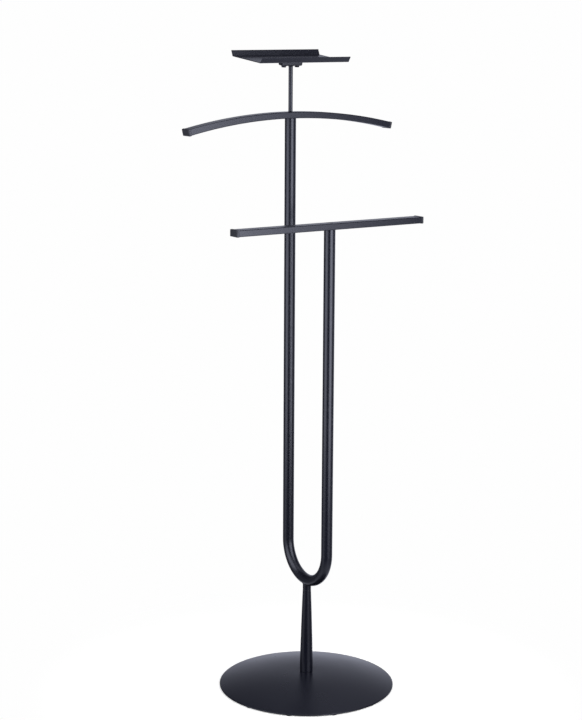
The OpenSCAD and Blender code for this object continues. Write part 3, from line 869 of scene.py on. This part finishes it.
def pair(name, grid, wrap_rows, node):
    """The same part on both studs, leaned with the tray."""
    grids = []
    for x in (-STUD_X, STUD_X):
        grids.append((lean(grid + [x, 0, 0], TRAY_Z), wrap_rows, True))
    dress(piece_mesh(name, grids), "black_zinc", node)


pair("threaded_studs", stud_grid(), False, "tray_studs")
pair("hex_nuts", nut_grid(), True, "tray_nuts")
pair("washers", turned(washer_profile, 64), True, "tray_washers")

# %% [markdown]
# ## Pieces inside the tubes
# Plugs, the joining stud and two screws sit inside the tubes and under the foot. Their
# designed shapes are right as they are, so they only get the plated finish.

# %% Finish the inner pieces
inner = ["foot_screw", "stem_foot_plug", "stem_head_plug", "joining_stud",
         "rear_arm_plug", "front_arm_plug", "trouser_screw"]
for node in inner:
    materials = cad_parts[node].data.materials
    materials.clear()
    materials.append(finish_of["zinc_steel"])
print("plated:", ", ".join(inner))

# %% [markdown]
# ## Floor
# The stand is on a pale floor. The floor is plain white paint near the stand, where it takes
# the soft contact shadow, and turns into an even glow further out, so it has no horizon. It
# is left out of reflections and bounce light, so the dark coat keeps its contrast.

# %% Make the floor
FLOOR_HALF = 60.0
FLOOR_NEAR = 0.20
FLOOR_FAR = 0.55
FLOOR_GLOW = 0.50
BACKDROP = "#fefefe"


def pale_floor():
    """White paint that fades into an even glow between two distances from the stand."""
    material, tree = new_material("white_floor_paint")
    place = add(tree, "ShaderNodeTexCoord").outputs["Object"]
    reach = add(tree, "ShaderNodeVectorMath", {0: place}, operation="LENGTH")
    fade = add(tree, "ShaderNodeMapRange",
               {"Value": reach.outputs["Value"], "From Min": FLOOR_NEAR, "From Max": FLOOR_FAR},
               interpolation_type="SMOOTHSTEP")
    paint = add(tree, "ShaderNodeBsdfDiffuse", {"Color": (0.90, 0.87, 0.72, 1.0)})
    faint = add(tree, "ShaderNodeEmission", {"Color": linear(BACKDROP),
                                             "Strength": FLOOR_GLOW})
    near = add(tree, "ShaderNodeAddShader", {0: paint.outputs["BSDF"],
                                             1: faint.outputs["Emission"]})
    glow = add(tree, "ShaderNodeEmission", {"Color": linear(BACKDROP)})
    mixed = add(tree, "ShaderNodeMixShader", {0: fade.outputs["Result"],
                                              1: near.outputs["Shader"],
                                              2: glow.outputs["Emission"]})
    add(tree, "ShaderNodeOutputMaterial", {"Surface": mixed.outputs["Shader"]})
    return material


span = np.array([-FLOOR_HALF, FLOOR_HALF])
floor_grid = np.stack(np.meshgrid(span, span, [0.0], indexing="ij"), axis=-1)[:, :, 0]
floor = piece_mesh("studio_floor", [(floor_grid[::-1], False, False)], closed=False)
floor.data.materials.append(pale_floor())
floor.visible_glossy = False
floor.visible_diffuse = False

# %% [markdown]
# ## Light
# Black satin is drawn by what it reflects. Two tall soft boxes, one at the left and one in
# front on the right, give the tubes their two pale bands, and the dark gap between them is
# the line down the middle. An overhead box fills the flat tops. The sky glows in a band
# just above the horizon behind the stand, which lights the far side of the domed foot.

# %% Light the scene
SKY_BY_HEIGHT = ((-1.0, 0.10), (-0.60, 0.20), (-0.40, 0.65), (-0.05, 0.75), (0.10, 0.60),
                 (0.30, 0.40), (0.50, 0.20), (1.0, 0.35))
SKY_BY_SIDE = ((-1.0, 0.0), (-0.88, 0.0), (-0.70, 0.75), (-0.30, 0.45), (0.20, 0.08),
               (0.50, 0.14), (0.80, 0.50), (1.0, 1.0))
SKY_FROM_BELOW = ((-1.0, 0.75), (-0.70, 0.70), (-0.42, 0.0), (1.0, 0.0))
SKY_SIDE = 130
SKY_STRENGTH = 1.7
COOL = (0.80, 0.83, 1.0)


def ramp_of(tree, value, stops):
    """Colour ramp over -1 to 1 through (value, strength) stops, tinted like the lamps."""
    share = add(tree, "ShaderNodeMapRange", {"Value": value, "From Min": -1.0})
    ramp = add(tree, "ShaderNodeValToRGB", {"Fac": share.outputs["Result"]})
    elements = ramp.color_ramp.elements
    while len(elements) < len(stops):
        elements.new(0.5)
    for element, (place, strength) in zip(elements, stops):
        element.position = (place + 1) / 2
        element.color = (*(strength * part for part in COOL), 1.0)
    return ramp.outputs["Color"]


def studio_sky():
    """White to the camera. For light, its strength is one ramp over the height of the
    direction times another over its cosine with the brightest side, and a third ramp
    adds the white floor as it looks from straight above."""
    world = bpy.data.worlds.new("studio")
    bpy.context.scene.world = world
    world.use_nodes = True
    tree = world.node_tree
    tree.nodes.clear()
    way = add(tree, "ShaderNodeTexCoord").outputs["Generated"]
    height = add(tree, "ShaderNodeSeparateXYZ", {"Vector": way}).outputs["Z"]
    level = add(tree, "ShaderNodeVectorMath", {0: way, 1: (1.0, 1.0, 0.0)},
                operation="MULTIPLY")
    level = add(tree, "ShaderNodeVectorMath", {0: level.outputs["Vector"]},
                operation="NORMALIZE")
    side = add(tree, "ShaderNodeVectorMath",
               {0: level.outputs["Vector"], 1: around_stand(SKY_SIDE, 1.0, 0.0)},
               operation="DOT_PRODUCT")
    by_side = add(tree, "ShaderNodeMath",
                  {0: ramp_of(tree, side.outputs["Value"], SKY_BY_SIDE), 1: SKY_STRENGTH},
                  operation="MULTIPLY")
    band = add(tree, "ShaderNodeBackground", {"Color": ramp_of(tree, height, SKY_BY_HEIGHT),
                                              "Strength": by_side.outputs["Value"]})
    below = add(tree, "ShaderNodeBackground", {"Color": ramp_of(tree, height, SKY_FROM_BELOW)})
    light = add(tree, "ShaderNodeAddShader", {0: band.outputs["Background"],
                                              1: below.outputs["Background"]})
    white = add(tree, "ShaderNodeBackground", {"Color": linear(BACKDROP)})
    seen = add(tree, "ShaderNodeLightPath").outputs["Is Camera Ray"]
    mixed = add(tree, "ShaderNodeMixShader", {0: seen, 1: light.outputs["Shader"],
                                              2: white.outputs["Background"]})
    add(tree, "ShaderNodeOutputWorld", {"Surface": mixed.outputs["Shader"]})


def soft_box(name, place, target, width, height, radiance, on_floor=True):
    """Rectangular light at place that faces target. Its power is radiance times pi times
    its area, so that radiance is how bright it looks in a mirror. A light that stands
    close to the foot can leave the floor out, so that it draws no line there."""
    lamp = bpy.data.lights.new(name, "AREA")
    lamp.shape = "RECTANGLE"
    lamp.size, lamp.size_y = width, height
    lamp.energy = radiance * math.pi * width * height
    lamp.color = COOL
    box = bpy.data.objects.new(name, lamp)
    bpy.context.scene.collection.objects.link(box)
    ahead = Vector(target) - Vector(place)
    box.location = place
    box.rotation_euler = ahead.to_track_quat("-Z", "Y").to_euler()
    box.visible_camera = False
    if not on_floor:
        box.light_linking.receiver_collection = stand_only


def around_stand(azimuth, distance, z):
    """A point at an azimuth in degrees from the front (-Y), positive to the right."""
    turn = math.radians(azimuth)
    return (distance * math.sin(turn), -distance * math.cos(turn), z)


from mathutils import Matrix, Vector

stand_only = bpy.data.collections.new("lit_without_floor")
stand_only.objects.link(floor)
stand_only.collection_objects[0].light_linking.link_state = "EXCLUDE"

studio_sky()
soft_box("left_box", around_stand(-87, 1.25, 1.24), (0, 0, 1.24), 1.2, 2.2, 2.6)
soft_box("right_box", around_stand(3, 1.1, 1.26), (0, 0, 1.26), 0.75, 2.2, 4.4)
soft_box("side_box", around_stand(27, 1.2, 1.26), (0, 0, 1.26), 0.44, 2.2, 2.0)
soft_box("top_box", (0, 0, 2.8), (0, 0, 0), 1.6, 1.6, 1.2)

# %% [markdown]
# ## Camera
# The camera looks at the stand from the left front, a little above the tray, as a shop's
# catalogue does. A long lens from over three metres keeps the uprights almost parallel.

# %% Place the camera
CAMERA_TURN = 33.766
CAMERA_DISTANCE = 3.2919
CAMERA_HEIGHT = 1.2928
CAMERA_YAW = -0.570
CAMERA_PITCH = 11.223
CAMERA_ROLL = 0.306
LENS = 89.775


def aim_camera():
    """Camera whose back axis is opposite its way ahead, rolled about that axis."""
    heading = math.radians(CAMERA_TURN + CAMERA_YAW)
    pitch = math.radians(CAMERA_PITCH)
    ahead = Vector((math.sin(heading) * math.cos(pitch), math.cos(heading) * math.cos(pitch),
                    -math.sin(pitch)))
    right = Vector((math.cos(heading), -math.sin(heading), 0))
    turn = Matrix.Rotation(-math.radians(CAMERA_ROLL), 3, ahead)
    right = turn @ right
    up = right.cross(ahead)
    data = bpy.data.cameras.new("catalogue_camera")
    data.lens = LENS
    data.sensor_width = 36
    camera = bpy.data.objects.new("catalogue_camera", data)
    bpy.context.scene.collection.objects.link(camera)
    axes = Matrix((right, up, -ahead)).transposed()
    camera.matrix_world = axes.to_4x4()
    camera.location = around_stand(-CAMERA_TURN, CAMERA_DISTANCE, CAMERA_HEIGHT)
    bpy.context.scene.camera = camera


aim_camera()
bpy.context.scene.view_settings.view_transform = "Standard"
